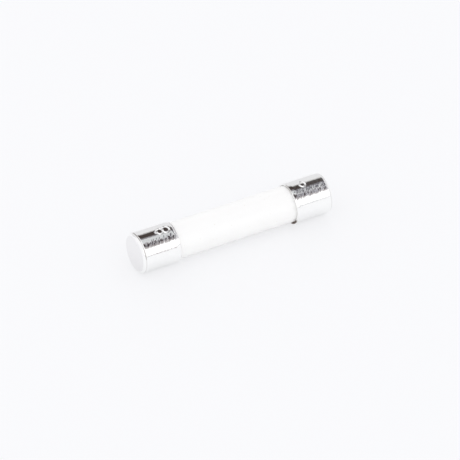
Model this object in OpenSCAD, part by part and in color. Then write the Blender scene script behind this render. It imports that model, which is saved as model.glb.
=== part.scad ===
// Ceramic cartridge fuse of the 6.3 x 32 mm size, standing on one of its caps.
// A drawn metal cap is pressed over each end of a ceramic tube. A fuse wire is
// wound on a twisted yarn core along the bore. Its ends are sunk in a pool of
// solder in each cap, and quartz sand fills the bore around it.
// Origin: middle of the lower end face. +Z runs along the fuse.

/* [Fuse] */
// Length over both caps
fuse_len = 31.75; // [28:0.05:40]

/* [Ceramic tube] */
// Outer diameter of the tube
tube_dia = 5.6; // [5:0.05:6.4]
// Thickness of the tube's wall
tube_wall = 0.95; // [0.6:0.05:1.15]
// Chamfer on the outer edge at both ends of the tube
tube_chamfer = 0.3; // [0.1:0.05:0.4]

/* [Caps] */
// Length of each cap along the fuse
cap_len = 6.2; // [4.5:0.1:8]
// Thickness of the sheet that the caps are drawn from
cap_wall = 0.35; // [0.25:0.05:0.45]
// Outer radius between the end face and the side of a cap
cap_corner = 0.6; // [0.5:0.05:0.9]
// Rounding of the cut edge at the mouth of a cap
cap_lip = 0.1; // [0.04:0.02:0.16]
// Gap all round between the tube and the inside of a cap
seat_gap = 0.025; // [0.01:0.005:0.05]

/* [Solder] */
// Depth of solder between the floor of a cap and the end of the tube
pool_depth = 0.5; // [0.4:0.05:0.8]
// Depth of solder left under the end of the element
pool_under = 0.2; // [0.1:0.05:0.3]
// Height to which solder climbs the element inside the bore
pool_rise = 0.9; // [0.5:0.05:1.1]
// Thickness of the solder at its top edge around the element
pool_neck = 0.12; // [0.06:0.02:0.2]

/* [Element] */
// Diameter over the strands of the yarn core
core_dia = 0.7; // [0.5:0.05:0.9]
// Depth of the grooves between the strands
core_groove = 0.09; // [0.04:0.01:0.12]
// Number of strands twisted into the core
core_strands = 3; // [2:1:4]
// Length of one turn of the strands
core_lay = 6; // [4:0.5:10]
// Diameter of the fuse wire
wire_dia = 0.25; // [0.15:0.01:0.35]
// Distance from one turn of the wire to the next
wire_pitch = 1.2; // [0.9:0.1:2]
// Gap between the wire and the core inside it, and the solder and sand outside it
wire_gap = 0.02; // [0.01:0.005:0.04]

/* [Hidden] */
$fn = 96;

// Tube, with its bore and its place between the two pools of solder
tube_r = tube_dia / 2;
bore_r = tube_r - tube_wall;
tube_z = cap_wall + pool_depth;
tube_len = fuse_len - 2 * tube_z;

// Inside and outside of a cap, worked out from the tube that it fits over
cap_bore_r = tube_r + seat_gap;
cap_r = cap_bore_r + cap_wall;

// Wire centre line: its chords clear the core, and the element's outside holds it all
wire_r = wire_dia / 2;
wire_sides = 8;
wire_steps = 12;
core_r = core_dia / 2;
coil_r = (core_r + wire_gap + wire_r) / cos(180 / wire_steps);
coil_climb = atan(wire_pitch / (2 * PI * coil_r));
element_r = coil_r + wire_r + wire_gap;
element_z = cap_wall + pool_under;
element_len = fuse_len - 2 * element_z;
coil_z = element_z + wire_r;
coil_turns = (element_len - 2 * wire_r) / wire_pitch;

// The solder's fillet is limited by the room between the element and the bore
fillet_r = min(pool_rise, bore_r - element_r - pool_neck);

// Faces of the twisted core
core_points_per_strand = 4;
core_slice_turn = 30;

// Half section of a turned block, its lower and upper outer edges rounded
module rounded_half_section(radius, height, low_round, high_round) {
    side_len = height - low_round - high_round;
    square([radius - low_round, low_round + side_len]);
    translate([0, low_round])
        square([radius, side_len]);
    translate([0, low_round])
        square([radius - high_round, side_len + high_round]);
    translate([radius - low_round, low_round])
        circle(low_round);
    translate([radius - high_round, height - high_round])
        circle(high_round);
}

// Puts a copy of what stands at the lower end at the upper end, turned over
module at_upper_end() {
    translate([0, 0, fuse_len])
        mirror([0, 0, 1])
            children();
}

// Half section of the room inside a cap, open past its mouth
module cap_room_section() {
    corner = cap_corner - cap_wall;
    translate([0, cap_wall])
        rounded_half_section(cap_bore_r, 2 * cap_len, corner, corner);
}

module ceramic_tube() {
    color("#f7f6f1")
        translate([0, 0, tube_z])
            rotate_extrude()
                polygon([
                    [bore_r, 0],
                    [tube_r - tube_chamfer, 0],
                    [tube_r, tube_chamfer],
                    [tube_r, tube_len - tube_chamfer],
                    [tube_r - tube_chamfer, tube_len],
                    [bore_r, tube_len],
                ]);
}

// Cup drawn from sheet: the same wall along the side, round the corner and across the end
module drawn_cap() {
    bevel_r = cap_bore_r + cap_lip;
    color("#cfcdc8")
        rotate_extrude()
            difference() {
                rounded_half_section(cap_r, cap_len, cap_corner, cap_lip);
                cap_room_section();
                polygon([
                    [0, cap_len - bevel_r],
                    [bevel_r, cap_len],
                    [bevel_r, 2 * cap_len],
                    [0, 2 * cap_len],
                ]);
            }
}

// Half section of the solder: a pool on the floor of a cap, up to the end of the tube,
// and a collar that climbs the element, with a fillet at its foot
module solder_section() {
    foot_r = element_r + pool_neck + fillet_r;
    collar_len = tube_z + fillet_r - element_z;
    difference() {
        union() {
            intersection() {
                cap_room_section();
                square([cap_r, tube_z]);
            }
            translate([0, element_z])
                difference() {
                    square([foot_r, collar_len]);
                    translate([foot_r, collar_len])
                        circle(fillet_r);
                }
        }
        translate([0, element_z])
            square([element_r, fuse_len]);
    }
}

module solder() {
    color("#b4b7ba")
        rotate_extrude()
            solder_section();
}

// Strands twisted together: the section has one lobe for each strand
module yarn_core() {
    turn = 360 * element_len / core_lay;
    slices = ceil(turn / core_slice_turn);
    points = core_strands * core_points_per_strand;
    function lobed(angle) = core_r - core_groove * (1 - cos(core_strands * angle)) / 2;
    color("#efe8d6")
        translate([0, 0, element_z])
            linear_extrude(height = element_len, twist = turn, slices = slices, $fn = points)
                polygon([
                    for (i = [0 : points - 1])
                        let (angle = 360 * i / points)
                            lobed(angle) * [cos(angle), sin(angle)]
                ]);
}

// Point on the skin of the wire: at an angle along the coil and an angle round the wire
function wire_point(along, round) =
    let (
        outward = [cos(along), sin(along), 0],
        across = [sin(along) * sin(coil_climb), -cos(along) * sin(coil_climb), cos(coil_climb)],
        centre = coil_r * outward + [0, 0, coil_z + wire_pitch * along / 360]
    )
    centre + wire_r * (cos(round) * outward + sin(round) * across);

module fuse_wire() {
    rings = ceil(coil_turns * wire_steps);
    skin = [
        for (i = [0 : rings], k = [0 : wire_sides - 1])
            wire_point(360 * coil_turns * i / rings, 360 * k / wire_sides)
    ];
    start_face = [for (k = [0 : wire_sides - 1]) k];
    end_face = [for (k = [wire_sides - 1 : -1 : 0]) rings * wire_sides + k];
    side_faces = [
        for (i = [0 : rings - 1], k = [0 : wire_sides - 1])
            let (
                next = (k + 1) % wire_sides,
                here = i * wire_sides,
                ahead = here + wire_sides
            )
            each [
                [here + k, ahead + k, ahead + next],
                [here + k, ahead + next, here + next],
            ]
    ];
    color("#c8c2b4")
        polyhedron(points = skin, faces = concat([start_face, end_face], side_faces));
}

// Everything in the bore that isn't solder or element
module sand_filling() {
    color("#d9cbae")
        rotate_extrude()
            difference() {
                translate([element_r, tube_z])
                    square([bore_r - element_r, tube_len]);
                solder_section();
                translate([0, fuse_len])
                    mirror([0, 1])
                        solder_section();
            }
}

ceramic_tube();
drawn_cap();  // lower_cap
at_upper_end() drawn_cap();  // upper_cap
solder();  // lower_solder
at_upper_end() solder();  // upper_solder
yarn_core();
fuse_wire();
sand_filling();
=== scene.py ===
"""Ceramic cartridge fuse of the 6.3 x 32 mm size, on a pale table under soft light.

The fuse stands on its lower cap here, and the photograph shows it lying on its side. So the
table is the upright plane that touches it, and the camera is turned to match.
"""

import math

import bpy
import numpy as np
from mathutils import Matrix, Vector


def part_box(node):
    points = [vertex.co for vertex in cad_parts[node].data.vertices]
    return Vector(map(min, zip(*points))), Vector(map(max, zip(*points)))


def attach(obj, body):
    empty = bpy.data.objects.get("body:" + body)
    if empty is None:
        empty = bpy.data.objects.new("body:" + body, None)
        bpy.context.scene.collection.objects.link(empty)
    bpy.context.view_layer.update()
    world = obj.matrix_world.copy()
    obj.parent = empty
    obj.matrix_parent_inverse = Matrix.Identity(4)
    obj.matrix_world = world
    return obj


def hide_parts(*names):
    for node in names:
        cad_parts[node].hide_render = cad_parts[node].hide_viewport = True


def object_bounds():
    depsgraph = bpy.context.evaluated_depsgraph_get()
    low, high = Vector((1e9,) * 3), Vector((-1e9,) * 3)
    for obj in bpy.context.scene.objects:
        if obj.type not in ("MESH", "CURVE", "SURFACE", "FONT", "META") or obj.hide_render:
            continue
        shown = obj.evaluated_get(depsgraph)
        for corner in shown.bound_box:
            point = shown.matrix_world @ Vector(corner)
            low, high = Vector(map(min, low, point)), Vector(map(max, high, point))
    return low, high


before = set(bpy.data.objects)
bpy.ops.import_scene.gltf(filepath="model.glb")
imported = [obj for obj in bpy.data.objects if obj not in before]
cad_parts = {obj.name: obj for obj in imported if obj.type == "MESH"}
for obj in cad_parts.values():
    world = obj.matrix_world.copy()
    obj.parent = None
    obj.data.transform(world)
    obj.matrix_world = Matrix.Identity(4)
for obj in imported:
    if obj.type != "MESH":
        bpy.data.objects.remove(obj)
cad_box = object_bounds()

# Yarn core
# Glass-fibre yarn of three strands twisted together. It carries the fuse wire, doesn't burn
# when the wire melts, and has both ends held in the solder of the caps.
core_low, core_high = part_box("yarn_core")
core_radius = core_high[0]
core_length = core_high[2] - core_low[2]
core_rings = 360
core_points = 60
strand_count = 3
strand_lay = 0.006
strand_groove = 0.00009
filament_width = 0.00004
filament_stretch = 0.15
sharp_angle = math.radians(50)


def linear(hex_colour):
    """Linear RGBA of an sRGB hex colour: v / 12.92 where v is dark, else ((v + 0.055) / 1.055) ^ 2.4."""
    value = np.array([int(hex_colour[i : i + 2], 16) for i in (1, 3, 5)]) / 255
    rgb = np.where(value <= 0.04045, value / 12.92, ((value + 0.055) / 1.055) ** 2.4)
    return (*rgb, 1.0)


def add_node(tree, kind, inputs=None, **settings):
    """Adds a node with its settings. Each input, by name or number, gets a value or a linked socket."""
    node = tree.nodes.new("ShaderNode" + kind)
    for name, value in settings.items():
        setattr(node, name, value)
    for name, value in (inputs or {}).items():
        if isinstance(value, bpy.types.NodeSocket):
            tree.links.new(value, node.inputs[name])
        else:
            node.inputs[name].default_value = value
    return node


def new_material(name):
    """A new material and its node tree, which is still empty."""
    material = bpy.data.materials.new(name)
    material.use_nodes = True
    tree = material.node_tree
    tree.nodes.clear()
    return material, tree


def skin(name, rings, poles=None):
    """A mesh over closed rings of points, given as an array (rings, points, 3).

    Point j of ring i, point j + 1 and the same two of ring i + 1 are the corners of one face.
    With no poles the last ring joins the first, otherwise each end closes in a fan on its pole.
    """
    count, around = rings.shape[:2]
    here = np.arange(count * around).reshape(count, around)
    beside = np.roll(here, -1, axis=1)
    ahead = np.roll(here, -1, axis=0)
    ahead_beside = np.roll(beside, -1, axis=0)
    quads = np.stack([here, beside, ahead_beside, ahead], axis=-1)
    points = rings.reshape(-1, 3)
    if poles is None:
        faces = quads.reshape(-1, 4).tolist()
    else:
        faces = quads[:-1].reshape(-1, 4).tolist()
        pole = np.full(around, len(points))
        faces += np.stack([beside[0], here[0], pole], axis=-1).tolist()
        faces += np.stack([here[-1], beside[-1], pole + 1], axis=-1).tolist()
        points = np.vstack([points, poles])
    mesh = bpy.data.meshes.new(name)
    mesh.from_pydata(points.tolist(), [], faces)
    mesh.shade_smooth()
    mesh.set_sharp_from_angle(angle=sharp_angle)
    piece = bpy.data.objects.new(name, mesh)
    bpy.context.collection.objects.link(piece)
    return piece


def fit(piece, node, material):
    """The piece stands for a CAD node, rides on the fuse's body and takes its finish from a slot."""
    piece.data.materials.append(material)
    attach(piece, "root")
    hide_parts(node)


def twisted_strands():
    """Radius = the core's, less a groove as 1 - |cos(strands x angle / 2)|, turned once in each lay."""
    height = np.linspace(0, core_length, core_rings)[:, None]
    angle = np.linspace(0, 2 * math.pi, core_points, endpoint=False)[None, :]
    radius = core_radius - strand_groove * (1 - np.abs(np.cos(strand_count * angle / 2)))
    turned = angle - 2 * math.pi * height / strand_lay
    points = [radius * np.cos(turned), radius * np.sin(turned), core_low[2] + height + 0 * angle]
    ends = [[0, 0, core_low[2]], [0, 0, core_high[2]]]
    return skin("yarn_core_strands", np.stack(points, axis=-1), ends)


# Glass-fibre yarn, spun: fine pale filaments run along the yarn, with a soft silky sheen. They are
# drawn about four times as wide as real ones, or they would not show.
glass_yarn, tree = new_material("glass_fibre_yarn")
place = add_node(tree, "TexCoord").outputs["Object"]
drawn_out = add_node(tree, "Mapping", {"Vector": place, "Scale": (1, 1, filament_stretch)}).outputs[0]
filaments = add_node(tree, "TexNoise", {"Vector": drawn_out, "Scale": 1 / filament_width}).outputs[0]
tone = add_node(tree, "Mix", {0: filaments, 6: linear("#D9CFB6"), 7: linear("#F6F0E0")}, data_type="RGBA")
ridge = add_node(tree, "Bump", {"Height": filaments, "Distance": filament_width / 2})
fibre = {"Base Color": tone.outputs[2], "Roughness": 0.7, "Sheen Weight": 0.3, "Normal": ridge.outputs[0]}
surface = add_node(tree, "BsdfPrincipled", fibre)
add_node(tree, "OutputMaterial", {"Surface": surface.outputs[0]})
fit(twisted_strands(), "yarn_core", glass_yarn)

# Fuse wire
# Tinned copper wire, wound on the yarn core in an open coil. It is the part that melts, and the
# core under it takes up the heat of a short surge.
wire_low, wire_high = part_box("fuse_wire")
wire_radius = 0.000125
wire_pitch = 0.0012
wire_points = 14
rings_in_turn = 40
coil_radius = wire_high[0] - wire_radius
tin_ripple = 0.00003


def wound_wire():
    """Circle of the wire's radius, carried square to a helix of the coil's radius and pitch.

    The points of the circle run backwards, so that the faces point outwards.
    """
    climb = math.atan(wire_pitch / (2 * math.pi * coil_radius))
    low = wire_low[2] + wire_radius * math.cos(climb)
    high = wire_high[2] - wire_radius * math.cos(climb)
    turns = (high - low) / wire_pitch
    along = np.linspace(0, 2 * math.pi * turns, round(turns * rings_in_turn))[:, None]
    around = -np.linspace(0, 2 * math.pi, wire_points, endpoint=False)[None, :]
    out = wire_radius * np.cos(around)
    over = wire_radius * np.sin(around)
    radius = coil_radius + out
    x = radius * np.cos(along) + over * math.sin(climb) * np.sin(along)
    y = radius * np.sin(along) - over * math.sin(climb) * np.cos(along)
    z = low + (high - low) * along / along[-1] + over * math.cos(climb)
    rings = np.stack([x, y, z], axis=-1)
    return skin("fuse_wire_coil", rings, [rings[0].mean(axis=0), rings[-1].mean(axis=0)])


# Tinned copper, drawn and hot-dipped: a soft silvery shine with a faint yellow tone.
tinned_copper, tree = new_material("tinned_copper")
place = add_node(tree, "TexCoord").outputs["Object"]
dip = add_node(tree, "TexNoise", {"Vector": place, "Scale": 1 / tin_ripple, "Detail": 3.0}).outputs[0]
tone = add_node(tree, "Mix", {0: dip, 6: linear("#BDB6A6"), 7: linear("#D9D5CA")}, data_type="RGBA")
ripple = add_node(tree, "Bump", {"Height": dip, "Distance": tin_ripple / 20})
tinned = {"Base Color": tone.outputs[2], "Metallic": 1.0, "Roughness": 0.28, "Normal": ripple.outputs[0]}
surface = add_node(tree, "BsdfPrincipled", tinned)
add_node(tree, "OutputMaterial", {"Surface": surface.outputs[0]})
fit(wound_wire(), "fuse_wire", tinned_copper)

# Ceramic tube
# Steatite porcelain, pressed through a ring die, cut to length and fired. It keeps the arc and
# the heat inside. Its ends are bevelled so that the caps slide on.
tube_low, tube_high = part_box("ceramic_tube")
tube_radius = tube_high[0]
tube_wall = 0.00095
tube_bevel = 0.0003
tube_points = 240
side_rings = 160
bore_rings = 40
die_ripple = 0.000006
die_lobes = 5
fired_wave = 0.000005
fired_wave_length = 0.011
grain_size = 0.00012
cloud_size = 0.003
pore_spacing = 0.0009
pore_radius = 0.000045
pore_edge = 0.000036


def extruded_tube():
    """Radius = the profile's, less a ripple of a few lobes round the tube and a slow wave along it.

    The profile starts at the bore, goes out over the lower end, up the side between two bevels, in
    over the upper end and down the bore. The ripple and the wave leave the bore alone.
    """
    low, high = tube_low[2], tube_high[2]
    bore = tube_radius - tube_wall
    side = np.linspace(low + tube_bevel, high - tube_bevel, side_rings)
    inside = np.linspace(high, low, bore_rings)
    height = np.concatenate([[low, low], side, [high, high], inside[1:-1]])
    edge = tube_radius - tube_bevel
    radius = np.concatenate([[bore, edge], np.full(len(side), tube_radius), [edge, bore]])
    radius = np.concatenate([radius, np.full(len(inside) - 2, bore)])[:, None]
    height = height[:, None]
    angle = np.linspace(0, 2 * math.pi, tube_points, endpoint=False)[None, :]
    lobes = die_ripple * (0.5 - 0.5 * np.cos(die_lobes * angle))
    wave = fired_wave * (0.5 - 0.5 * np.cos(2 * math.pi * height / fired_wave_length + angle))
    radius = radius - np.where(radius > bore, lobes + wave, 0)
    points = [radius * np.cos(angle), radius * np.sin(angle), height + 0 * angle]
    return skin("ceramic_tube_body", np.stack(points, axis=-1))


# Steatite, extruded and fired without glaze: warm white, a silky half-gloss, fine grain, and a
# few pinholes that only show as faint specks.
steatite, tree = new_material("fired_steatite")
place = add_node(tree, "TexCoord").outputs["Object"]
grain = add_node(tree, "TexNoise", {"Vector": place, "Scale": 1 / grain_size, "Detail": 4.0}).outputs[0]
cloud = add_node(tree, "TexNoise", {"Vector": place, "Scale": 1 / cloud_size}).outputs[0]
pores = add_node(tree, "TexVoronoi", {"Vector": place, "Scale": 1 / pore_spacing}).outputs["Distance"]
speck_range = {
    "Value": pores,
    "From Min": pore_radius / pore_spacing,
    "From Max": (pore_radius + pore_edge) / pore_spacing,
    "To Min": 1.0,
    "To Max": 0.0,
}
speck = add_node(tree, "MapRange", speck_range).outputs[0]
tone = add_node(tree, "Mix", {0: cloud, 6: linear("#FBFAF8"), 7: linear("#FDFDFB")}, data_type="RGBA")
specked = add_node(tree, "Mix", {0: speck, 6: tone.outputs[2], 7: linear("#EFECE4")}, data_type="RGBA")
relief = add_node(tree, "Bump", {"Height": grain, "Distance": grain_size / 60})
fired = {
    "Base Color": specked.outputs[2],
    "Roughness": 0.42,
    "IOR": 1.57,
    "Subsurface Weight": 0.08,
    "Subsurface Radius": (0.0004, 0.0004, 0.0004),
    "Subsurface Scale": 1.0,
    "Normal": relief.outputs[0],
}
surface = add_node(tree, "BsdfPrincipled", fired)
add_node(tree, "OutputMaterial", {"Surface": surface.outputs[0]})
fit(extruded_tube(), "ceramic_tube", steatite)

# Sand filling
# Washed quartz sand, vibrated into the bore around the element. It melts round the arc and
# puts it out. Nothing of it shows until the fuse is cut open.
sand_grain = 0.00022


def finish_solid(node, material):
    """A CAD solid that stays gets this material."""
    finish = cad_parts[node].data.materials
    finish.clear()
    finish.append(material)


# Quartz sand, washed and dried: buff and clear grains in a rough bed.
quartz_sand, tree = new_material("dry_quartz_sand")
place = add_node(tree, "TexCoord").outputs["Object"]
grains = add_node(tree, "TexVoronoi", {"Vector": place, "Scale": 1 / sand_grain})
each = grains.outputs["Color"]
tone = add_node(tree, "Mix", {0: each, 6: linear("#C3B08A"), 7: linear("#EFE8D6")}, data_type="RGBA")
rounded = {"Height": grains.outputs["Distance"], "Distance": sand_grain / 3}
bed = add_node(tree, "Bump", rounded, invert=True)
dry = {"Base Color": tone.outputs[2], "Roughness": 0.65, "IOR": 1.54, "Normal": bed.outputs[0]}
surface = add_node(tree, "BsdfPrincipled", dry)
add_node(tree, "OutputMaterial", {"Surface": surface.outputs[0]})
finish_solid("sand_filling", quartz_sand)

# Solder in each cap
# Tin solder, melted in the cap as it is pressed over the tube. It wets the cap's floor and
# climbs the element, so the current passes from the cap to the wire.
solder_grain = 0.0003

# Tin solder, set from a melt: satin grey, with slightly frosted grains.
tin_solder, tree = new_material("set_tin_solder")
place = add_node(tree, "TexCoord").outputs["Object"]
frost = add_node(tree, "TexNoise", {"Vector": place, "Scale": 1 / solder_grain, "Detail": 5.0}).outputs[0]
tone = add_node(tree, "Mix", {0: frost, 6: linear("#A6A9AC"), 7: linear("#C8CACC")}, data_type="RGBA")
dull = add_node(tree, "MapRange", {"Value": frost, "To Min": 0.22, "To Max": 0.45}).outputs[0]
crystal = add_node(tree, "Bump", {"Height": frost, "Distance": solder_grain / 40})
tin = {"Base Color": tone.outputs[2], "Metallic": 1.0, "Roughness": dull, "Normal": crystal.outputs[0]}
surface = add_node(tree, "BsdfPrincipled", tin)
add_node(tree, "OutputMaterial", {"Surface": surface.outputs[0]})
finish_solid("lower_solder", tin_solder)
finish_solid("upper_solder", tin_solder)

# Caps
# Brass sheet drawn into a cup, which leaves a faint crease round its corner. Plain figures are
# struck in its side near the mouth, and it is barrel polished and nickel plated. Each cap is
# pressed over one end of the tube.
cap_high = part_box("lower_cap")[1]
fuse_length = cad_box[1][2]
middle_z = fuse_length / 2
cap_radius = cap_high[0]
cap_length = cap_high[2]
cap_wall = 0.00035
cap_corner = 0.0006
corner_length = 0.00075
cap_lip = 0.0001
mouth_roll_length = 0.00055
crease_height = 0.0004
crease_depth = 0.000015
crease_half_width = 0.0001
figure_height = 0.00183
figure_width = 0.00106
figure_pitch = 0.0016
figure_from_mouth = 0.00188
strike_depth = 0.000155
strike_half_width = 0.00014
# Strengths of a brown tint painted in the crease and round the mouth: painted shade and dark reflection
# lines
crease_shade_film = 0.2
mouth_shade_film = 0.04
cup_rings = {
    "face": 10,
    "corner": 30,
    "plain": 8,
    "struck": 84,
    "rolled": 14,
    "lip": 6,
    "bore": 6,
    "inner_corner": 7,
    "floor": 4,
}
struck_columns = 400
plain_columns = 160
arc_points = 24


def arc(x, y, across, up, start, end):
    """Points of an ellipse about (x, y), of two half axes, from one angle to another in degrees."""
    angle = np.radians(np.linspace(start, end, arc_points))
    return np.stack([x + across * np.cos(angle), y + up * np.sin(angle)], axis=-1)


# Centre lines of the figures, in a box about one unit wide and one unit high round the middle. The
# "o" is a small ring by itself.
figure_strokes = {
    "0": [arc(0, 0, 0.5, 0.5, 0, 360)],
    "o": [arc(0, 0.18, 0.53, 0.25, 0, 360)],
    "2": [np.vstack([arc(0, 0.2, 0.5, 0.3, 165, -35), [[-0.5, -0.5], [0.5, -0.5]]])],
    "5": [np.vstack([[[0.45, 0.5], [-0.38, 0.5], [-0.45, 0.06]], arc(0, -0.18, 0.5, 0.32, 130, -150)])],
    "8": [arc(0, 0.25, 0.5, 0.27, 0, 360), arc(0, -0.28, 0.57, 0.29, 0, 360)],
}


def struck_depth(angle, height, figures, first_angle):
    """Depth of the figures: a wedge that gets shallower with the least distance to a centre line.

    Angle and height are those of the point on the cap. The figures' tops are at the closed end,
    and each next figure is one pitch further clockwise, seen from the mouth.
    """
    least = np.full(np.broadcast(angle, height).shape, np.inf)
    for count, figure in enumerate(figures):
        centre = first_angle - count * figure_pitch / cap_radius
        turn = (angle - centre + math.pi) % (2 * math.pi) - math.pi
        x = -turn * cap_radius
        y = cap_length - figure_from_mouth - height
        for stroke in figure_strokes.get(figure, []):
            points = stroke * (figure_width, figure_height)
            for (ax, ay), (bx, by) in zip(points[:-1], points[1:]):
                dx, dy = bx - ax, by - ay
                share = np.clip(((x - ax) * dx + (y - ay) * dy) / (dx * dx + dy * dy), 0, 1)
                least = np.minimum(least, np.hypot(x - ax - share * dx, y - ay - share * dy))
    return strike_depth * np.clip(1 - least / strike_half_width, 0, 1)


def cup_profile(mouth_roll):
    """Radius and height of a cup's rings, and the number of the first ring on its lip.

    The profile starts near the middle of the closed end and goes out round a corner that is a
    quarter of an ellipse, along the side, over a round lip and back inside. Near the mouth the
    side rolls in by the square of the way. Most rings are where the figures are.
    """
    inside = cap_radius - cap_wall
    inner_corner = cap_corner - cap_wall
    figures_low = cap_length - figure_from_mouth - figure_height / 2 - strike_half_width
    figures_high = cap_length - figure_from_mouth + figure_height / 2 + strike_half_width
    side_end = cap_length - cap_lip
    face = np.linspace(0, cap_radius - cap_corner, cup_rings["face"])[1:-1]
    bend = np.radians(np.linspace(0, 90, cup_rings["corner"]))
    plain = np.linspace(corner_length, figures_low, cup_rings["plain"])[1:]
    struck = np.linspace(figures_low, figures_high, cup_rings["struck"])[1:]
    rolled = np.linspace(figures_high, side_end, cup_rings["rolled"])[1:-1]
    side = np.concatenate([plain, struck, rolled])
    roll = mouth_roll * np.clip(1 - (side_end - side) / mouth_roll_length, 0, 1) ** 2
    lip = np.radians(np.linspace(0, 90, cup_rings["lip"]))
    mouth = cap_radius - mouth_roll
    inner_bend = np.radians(np.linspace(0, 90, cup_rings["inner_corner"]))
    bore = np.linspace(side_end, cap_corner, cup_rings["bore"])[1:-1]
    floor = np.linspace(inside - inner_corner, 0, cup_rings["floor"])[1:-1]
    radius = np.concatenate([
        face,
        cap_radius - cap_corner + cap_corner * np.sin(bend),
        cap_radius - roll,
        mouth - cap_lip + cap_lip * np.cos(lip),
        inside + cap_lip - cap_lip * np.sin(lip),
        np.full(len(bore), inside),
        inside - inner_corner + inner_corner * np.cos(inner_bend),
        floor,
    ])[:, None]
    height = np.concatenate([
        np.zeros(len(face)),
        corner_length - corner_length * np.cos(bend),
        side,
        side_end + cap_lip * np.sin(lip),
        side_end + cap_lip * np.cos(lip),
        bore,
        cap_wall + inner_corner - inner_corner * np.sin(inner_bend),
        np.full(len(floor), cap_wall),
    ])[:, None]
    return radius, height, len(face) + len(bend) + len(side)


def shade_film_strength(angle, shade_marks):
    """Painted brown shade at the mouth and in the crease: even, or a mark where that is stronger.

    Each mark is the angle of its middle and its half width, in degrees, and its strength at the
    mouth and in the crease. It fades as the fourth power of the way to its edge.
    """
    at_mouth = np.full_like(angle, mouth_shade_film)
    at_crease = np.full_like(angle, crease_shade_film)
    for mark_angle, half_width, mouth_strength, crease_strength in shade_marks:
        turn = (np.degrees(angle) - mark_angle + 180) % 360 - 180
        spread = 1 - np.clip(np.abs(turn) / half_width, 0, 1) ** 4
        at_mouth = np.maximum(at_mouth, mouth_strength * spread)
        at_crease = np.maximum(at_crease, crease_strength * spread)
    return at_mouth, at_crease


def drawn_cup(name, figures, first_angle, mouth_roll, shade_marks, turned_over):
    """Profile of the cup turned about the axis, its outside less the struck depth and a crease.

    The crease is a bell about its height, as 1 + cos. Two attributes tell the finish how deep the
    figures are, and where the brown painted shade is: in the crease, and from the lip inwards. Most
    columns are where the figures are. A cap that is turned over is rotated half a turn about X.
    """
    radius, height, lip_ring = cup_profile(mouth_roll)
    one_pitch = figure_pitch / cap_radius
    first_column = first_angle - len(figures) * one_pitch
    last_column = first_angle + one_pitch
    fine = np.linspace(first_column, last_column, struck_columns, endpoint=False)
    coarse = np.linspace(last_column, first_column + 2 * math.pi, plain_columns, endpoint=False)
    angle = np.concatenate([fine, coarse])[None, :]
    outside = radius > cap_radius - cap_corner / 2
    crease_way = np.clip(np.abs(height - crease_height) / crease_half_width, 0, 1)
    crease = crease_depth * (0.5 + 0.5 * np.cos(math.pi * crease_way))
    figure = np.where(outside, struck_depth(angle, height, figures, first_angle), 0)
    radius = radius - figure - np.where(outside, crease, 0)
    at_mouth, at_crease = shade_film_strength(angle, shade_marks)
    past_side = (np.arange(len(height)) >= lip_ring)[:, None]
    shade_film = np.where(past_side, at_mouth, at_crease * crease / crease_depth)
    points = [radius * np.cos(angle), radius * np.sin(angle), height + 0 * angle]
    rings = np.stack(points, axis=-1)
    poles = np.array([[0, 0, 0], [0, 0, cap_wall]])
    if turned_over:
        rings = rings * (1, -1, -1) + (0, 0, fuse_length)
        poles = poles * (1, -1, -1) + (0, 0, fuse_length)
    cup = skin(name, rings, poles)
    for attribute, values in (("struck", figure / strike_depth), ("shade_film", shade_film)):
        layer = cup.data.attributes.new(attribute, "FLOAT", "POINT")
        layer.data.foreach_set("value", np.concatenate([values.ravel(), [0, 0]]))
    return cup


# Nickel plate on barrel-polished brass: a bright mirror with a very faint orange peel. The closed
# end is greyer: painted shade for the darker reflection there. Handling has left shallow slanting
# rub marks, deepest in two strips where the jaws of a clip slid along the sides, so that reflections
# fray there. They are drawn coarser than real ones, or they would not show. The struck figures are
# satin. A brown tint is painted in the crease and round the mouth as painted shade and dark
# reflection lines, and at the lower cap's mouth as the shadow in the gap under the tube.
peel_size = 0.0005
peel_depth = 0.000006
rub_size = 0.0004
rub_stretch = 3
rub_slant = math.radians(-24)
rub_azimuth = math.radians(232.8)
lower_rub_depth = 0.00006
upper_rub_depth = 0.00008
lower_rub_half_width = 0.00088
upper_rub_half_width = 0.00046
rub_edge_start = 0.4
rub_edge_end = 1.3
rub_fade_start = 0.001
rub_fade_end = 0.0007
rub_elsewhere = 0.12
end_shade_zone = 0.00006
polished_roughness = 0.06
struck_roughness = 0.1
satin_from = 0.3

nickel_plate, tree = new_material("polished_nickel_plate")
place = add_node(tree, "TexCoord").outputs["Object"]
plate_z = add_node(tree, "SeparateXYZ", {0: place}).outputs["Z"]
from_middle = add_node(tree, "Math", {0: plate_z, 1: middle_z}, operation="SUBTRACT").outputs[0]
from_middle = add_node(tree, "Math", {0: from_middle}, operation="ABSOLUTE").outputs[0]

# The strips: how far a point lies beside their middle, in half widths, and a fade near the ends
beside = (-math.sin(rub_azimuth), math.cos(rub_azimuth), 0)
across = add_node(tree, "VectorMath", {0: place, 1: beside}, operation="DOT_PRODUCT").outputs["Value"]
across = add_node(tree, "Math", {0: across}, operation="ABSOLUTE").outputs[0]
half_width_range = {
    "Value": plate_z,
    "From Max": fuse_length,
    "To Min": lower_rub_half_width,
    "To Max": upper_rub_half_width,
}
half_width = add_node(tree, "MapRange", half_width_range).outputs[0]
nearness = add_node(tree, "Math", {0: across, 1: half_width}, operation="DIVIDE").outputs[0]
strip_range = {
    "Value": nearness,
    "From Min": rub_edge_start,
    "From Max": rub_edge_end,
    "To Min": 1.0,
    "To Max": 0.0,
}
strip = add_node(tree, "MapRange", strip_range).outputs[0]
fade_range = {
    "Value": from_middle,
    "From Min": middle_z - rub_fade_start,
    "From Max": middle_z - rub_fade_end,
    "To Min": 1.0,
    "To Max": 0.0,
}
fade = add_node(tree, "MapRange", fade_range).outputs[0]
strip = add_node(tree, "Math", {0: strip, 1: fade}, operation="MULTIPLY").outputs[0]

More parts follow.
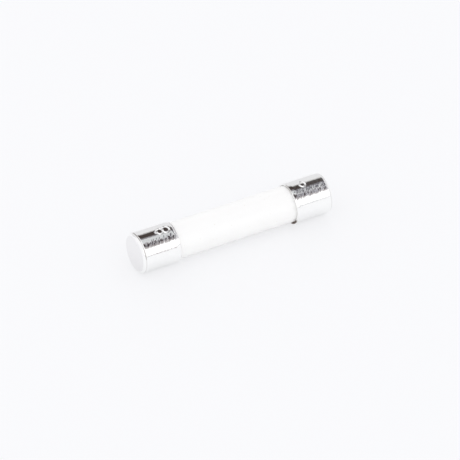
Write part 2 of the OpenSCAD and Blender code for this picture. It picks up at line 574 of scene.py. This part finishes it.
# The relief: orange peel under slanting rub marks
peel = add_node(tree, "TexNoise", {"Vector": place, "Scale": 1 / peel_size, "Detail": 2.0}).outputs[0]
smooth = add_node(tree, "Bump", {"Height": peel, "Distance": peel_depth}).outputs[0]
slant = {"Vector": place, "Rotation": (rub_slant, 0, rub_azimuth), "Scale": (1, rub_stretch, 1)}
slanting = add_node(tree, "Mapping", slant, vector_type="TEXTURE").outputs[0]
rub = add_node(tree, "TexNoise", {"Vector": slanting, "Scale": 1 / rub_size, "Detail": 2.0}).outputs[0]
grip = add_node(tree, "MapRange", {"Value": strip, "To Min": rub_elsewhere, "To Max": 1.0}).outputs[0]
depth_range = {
    "Value": plate_z,
    "From Max": fuse_length,
    "To Min": lower_rub_depth,
    "To Max": upper_rub_depth,
}
rub_depth = add_node(tree, "MapRange", depth_range).outputs[0]
rubbed = {"Strength": grip, "Height": rub, "Distance": rub_depth, "Normal": smooth}
relief = add_node(tree, "Bump", rubbed).outputs[0]

# The colour: near white, with painted shade: greyer on the closed end, and brown where the shade film is
tone = add_node(tree, "Mix", {0: peel, 6: linear("#FAFAF9"), 7: linear("#FEFEFD")}, data_type="RGBA")
# Painted shade: the closed end is tinted greyer to stand in for the darker reflection there
end_shade_range = {"Value": from_middle, "From Min": middle_z - end_shade_zone, "From Max": middle_z}
end_shade = add_node(tree, "MapRange", end_shade_range).outputs[0]
tone = add_node(tree, "Mix", {0: end_shade, 6: tone.outputs[2], 7: linear("#F2F1F1")}, data_type="RGBA")
# Painted shade: a brown tint in the crease and along the lip stands in for dark reflection lines, and at
# the lower cap's mouth for the shadow in the gap under the tube
shade_film = add_node(tree, "Attribute", attribute_name="shade_film").outputs["Fac"]
tone = add_node(tree, "Mix", {0: shade_film, 6: tone.outputs[2], 7: linear("#4E3216")}, data_type="RGBA")
struck = add_node(tree, "Attribute", attribute_name="struck").outputs["Fac"]
satin_range = {
    "Value": struck,
    "From Max": satin_from,
    "To Min": polished_roughness,
    "To Max": struck_roughness,
}
satin = add_node(tree, "MapRange", satin_range).outputs[0]
plated = {"Base Color": tone.outputs[2], "Metallic": 1.0, "Roughness": satin, "Normal": relief}
surface = add_node(tree, "BsdfPrincipled", plated)
add_node(tree, "OutputMaterial", {"Surface": surface.outputs[0]})

# The lower cap carries a ring, the upper one four figures
lower_cup = drawn_cup(
    "lower_cap_cup",
    figures="o",
    first_angle=math.radians(262.3),
    mouth_roll=0.00003,
    # The mark at 135 degrees is the painted shadow in the gap under the tube; the one at 264 is a painted
    # dark line along the lip
    shade_marks=[(135, 24, 0.95, 0), (264, 20, 0.4, 0)],
    turned_over=False,
)
upper_cup = drawn_cup(
    "upper_cap_cup",
    figures="8 250",
    first_angle=math.radians(101),
    mouth_roll=0.00009,
    # Painted dark reflection lines in the crease, and a painted dark line along the lip
    shade_marks=[(90, 27, 0.5, 0.8), (150, 20, 0, 0.7)],
    turned_over=True,
)
fit(lower_cup, "lower_cap", nickel_plate)
fit(upper_cup, "upper_cap", nickel_plate)

# Table
# A wide sheet of pale matt laminate, along the side on which the fuse lies. From behind it lets
# everything through, so the fuse is seen from all sides.
scene = bpy.context.scene
scene.view_settings.view_transform = "Standard"
table_y = cad_box[1][1]
table_half = 1.5
glow_to_camera = 0.7
glow_in_metal = 0.3


def over_table(across, height, along):
    """A point from its distance across the fuse, above the table, and along towards the lower cap.

    Across is negative on the camera's side.
    """
    return Vector((across, table_y - height, middle_z - along))


def sheet_between(name, corners, material):
    """A flat four-cornered sheet of the stage, facing the side that sees its corners anticlockwise."""
    mesh = bpy.data.meshes.new(name)
    mesh.from_pydata([tuple(corner) for corner in corners], [], [(0, 1, 2, 3)])
    mesh.materials.append(material)
    sheet = bpy.data.objects.new(name, mesh)
    bpy.context.collection.objects.link(sheet)
    return sheet


# Matt laminate, pale: part of what the camera and the metal see of it is a steady glow, so that
# it stays near white and the fuse's shadow on it is faint and soft.
pale_laminate, tree = new_material("pale_table_laminate")
ray = add_node(tree, "LightPath").outputs
straight = add_node(tree, "Math", {0: ray["Is Camera Ray"], 1: glow_to_camera}, operation="MULTIPLY")
bounced = add_node(tree, "Math", {0: ray["Is Glossy Ray"], 1: ray["Is Transmission Ray"]}, operation="ADD")
bounced = add_node(tree, "Math", {0: bounced.outputs[0], 1: glow_in_metal}, operation="MULTIPLY")
share = add_node(tree, "Math", {0: straight.outputs[0], 1: bounced.outputs[0]}, operation="ADD").outputs[0]
matt = add_node(tree, "BsdfPrincipled", {"Base Color": linear("#FBFCFD"), "Roughness": 0.4}).outputs[0]
glow = add_node(tree, "Emission", {"Color": linear("#F9F9FB"), "Strength": 1.0}).outputs[0]
top = add_node(tree, "MixShader", {0: share, 1: matt, 2: glow}).outputs[0]
see_through = add_node(tree, "BsdfTransparent").outputs[0]
behind = add_node(tree, "NewGeometry").outputs["Backfacing"]
one_sided = add_node(tree, "MixShader", {0: behind, 1: top, 2: see_through}).outputs[0]
add_node(tree, "OutputMaterial", {"Surface": one_sided})
table_corners = [
    over_table(side * table_half, 0, end * table_half)
    for side, end in ((-1, -1), (-1, 1), (1, 1), (1, -1))
]
sheet_between("table", table_corners, pale_laminate)

# Screens
# Cards and felts that hang round the fuse, out of the camera's sight. Only polished metal shows
# them, as bands along the caps: the near ones in the upper cap, the far ones in the lower cap.
# The bright ones carry the light panel's reflection down to a thin grey bar over the table.
screen_distance = 0.5
felt_distance = 0.72
wall_distance = 0.8
near_reach = (-0.03, 0.21)
far_reach = (0.21, 0.33)
rib_width = 0.03
darkest_rib = 0.45
lightest_rib = 0.56


def screen(name, material, low_angle, high_angle, reach, distance=screen_distance):
    """A sheet between two angles round the fuse, which count up from the table on the camera's side.

    Its reach is where it starts and ends along the fuse.
    """
    corners = []
    for angle, along in (
        (low_angle, reach[0]),
        (low_angle, reach[1]),
        (high_angle, reach[1]),
        (high_angle, reach[0]),
    ):
        turn = math.radians(angle)
        corners.append(over_table(-distance * math.cos(turn), distance * math.sin(turn), along))
    sheet = sheet_between(name, corners, material)
    sheet.visible_camera = False
    sheet.visible_diffuse = False
    sheet.visible_shadow = False


def card_material(name, colour, strength=1.0):
    """A card of one plain colour. At a strength of 1, a white card is as bright as the room."""
    material, tree = new_material(name)
    card = add_node(tree, "Emission", {"Color": linear(colour), "Strength": strength}).outputs[0]
    add_node(tree, "OutputMaterial", {"Surface": card})
    return material


def ribbed_card(name, dark, light):
    """A card of uneven ribs along the fuse: noise over the two directions square to it."""
    material, tree = new_material(name)
    place = add_node(tree, "TexCoord").outputs["Object"]
    lengthwise = add_node(tree, "Mapping", {"Vector": place, "Scale": (1, 1, 0)}).outputs[0]
    rib_noise = {"Vector": lengthwise, "Scale": 1 / rib_width, "Detail": 1.0}
    uneven = add_node(tree, "TexNoise", rib_noise).outputs[0]
    rib_range = {"Value": uneven, "From Min": darkest_rib, "From Max": lightest_rib}
    ribs = add_node(tree, "MapRange", rib_range).outputs[0]
    tone = add_node(tree, "Mix", {0: ribs, 6: linear(dark), 7: linear(light)}, data_type="RGBA")
    card = add_node(tree, "Emission", {"Color": tone.outputs[2], "Strength": 1.0}).outputs[0]
    add_node(tree, "OutputMaterial", {"Surface": card})
    return material


near_felt = card_material("brown_felt", "#48403E")
far_felt = card_material("grey_felt", "#5C5A5A")
brown_edge = card_material("brown_edge", "#B9AFB1")
grey_card = card_material("grey_card", "#D4D6D8")
grey_ribs = ribbed_card("grey_ribs", "#5A585E", "#BCBBC2")
dim_card = card_material("dim_card", "#484143")
mid_card = card_material("mid_card", "#A09A9B")
low_mid_card = card_material("low_mid_card", "#ACAAB0")
far_edge = card_material("far_edge", "#77757A")
soft_edge = card_material("soft_edge", "#8D8A8E")
pale_edge = card_material("pale_edge", "#C9C5C6")
fringe_card = card_material("fringe_card", "#B7B5B5")
pale_fringe_card = card_material("pale_fringe_card", "#CCCBCB")
mouth_card = card_material("mouth_card", "#C9C7CB")
pale_card = card_material("pale_card", "#E8E8EA")
bright_card = card_material("bright_card", "#FFFFFF", 1.15)
screen("back_wall", pale_card, 131, 178, (-0.6, 1.2), wall_distance)
screen("near_felt", near_felt, 80, 133, (-0.04, 0.302), felt_distance)
screen("far_felt", far_felt, 80, 133, (0.302, 0.47), felt_distance)
screen("near_fringe", fringe_card, 131.5, 138, near_reach)
screen("near_edge", soft_edge, 99, 106, near_reach)
screen("near_card", grey_card, 74.5, 99, near_reach)
screen("near_upper_mid", mid_card, 71, 74.5, near_reach)
screen("near_dim", dim_card, 58, 71, near_reach)
screen("near_mid", mid_card, 50, 58, near_reach)
screen("near_low_edge", pale_edge, 44.5, 50, near_reach)
screen("far_fringe", pale_fringe_card, 126, 134, far_reach)
screen("far_edge", far_edge, 95, 101, far_reach)
screen("far_ribs", grey_ribs, 57, 95, far_reach)
screen("far_low_mid", low_mid_card, 51, 57, far_reach)
screen("far_low_edge", pale_edge, 46, 51, far_reach)
screen("mouth_side", mouth_card, 49, 133, (0.33, 0.6))
screen("near_bright", bright_card, 6.3, 17, (-0.1, 0.2))
screen("far_bright", bright_card, 10.2, 17, (0.2, 0.9))
screen("near_bar", pale_card, 1.5, 6.3, (-0.1, 0.183))
screen("near_mouth_bar", brown_edge, 1.5, 6.3, (0.183, 0.2))
screen("far_mouth_bar", grey_card, 5.4, 10.2, (0.2, 0.227))
screen("far_bar", pale_card, 5.4, 10.2, (0.227, 0.9))

# Light
# A wide soft panel on the camera's side, low over the table, in a pale room. The panel makes
# the white band along the caps, and the room lights the tube evenly from all round, a little
# more than it shows itself.
panel_angle = math.radians(33)
panel_distance = 0.6
panel_middle = 0.05
panel_length = 1.7
panel_width = 0.39
panel_power = 0.39
room_light = 1.02
panel_data = bpy.data.lights.new("soft_panel", "AREA")
panel_data.shape = "RECTANGLE"
panel_data.size = panel_length
panel_data.size_y = panel_width
panel_data.energy = panel_power
panel = bpy.data.objects.new("soft_panel", panel_data)
bpy.context.collection.objects.link(panel)
panel_across = -panel_distance * math.cos(panel_angle)
panel_height = panel_distance * math.sin(panel_angle)
panel.location = over_table(panel_across, panel_height, panel_middle)
facing = over_table(0, 0, panel_middle) - panel.location
panel_x = Vector((0, 0, 1))
panel_z = -facing.normalized()
panel.rotation_euler = Matrix((panel_x, panel_z.cross(panel_x), panel_z)).transposed().to_euler()

world = bpy.data.worlds.new("pale_room")
scene.world = world
world.use_nodes = True
tree = world.node_tree
tree.nodes.clear()
ray = add_node(tree, "LightPath").outputs
seen = add_node(tree, "Math", {0: ray["Is Camera Ray"], 1: ray["Is Glossy Ray"]}, operation="ADD")
seen = add_node(tree, "Math", {0: seen.outputs[0], 1: ray["Is Transmission Ray"]}, operation="ADD")
strength = add_node(tree, "MapRange", {"Value": seen.outputs[0], "To Min": room_light, "To Max": 1.0})
room = add_node(tree, "Background", {"Color": linear("#FDFDFF"), "Strength": strength.outputs[0]})
add_node(tree, "OutputWorld", {"Surface": room.outputs[0]})

# Camera
# The camera's place in the photograph, found from the fuse's outline: its distance, its angle
# above the table, and how far it stands round from square on towards the upper cap. It is moved
# up a little, square to its view, to put the fuse where the photograph has it.
camera_distance = 0.623
camera_rise = math.radians(36.65)
camera_round = math.radians(28.75)
camera_lens = 330.3
aim_up = 0.00146
back = Vector((
    -math.cos(camera_rise) * math.cos(camera_round),
    -math.sin(camera_rise),
    math.cos(camera_rise) * math.sin(camera_round),
))
right = Vector((0, -1, 0)).cross(back).normalized()
up = back.cross(right)
camera_data = bpy.data.cameras.new("camera")
camera_data.lens = camera_lens
camera_data.clip_start = 0.05
camera = bpy.data.objects.new("camera", camera_data)
bpy.context.collection.objects.link(camera)
camera_place = over_table(0, 0, 0) + back * camera_distance + up * aim_up
camera_turn = Matrix((right, up, back)).transposed().to_4x4()
camera.matrix_world = Matrix.Translation(camera_place) @ camera_turn
scene.camera = camera
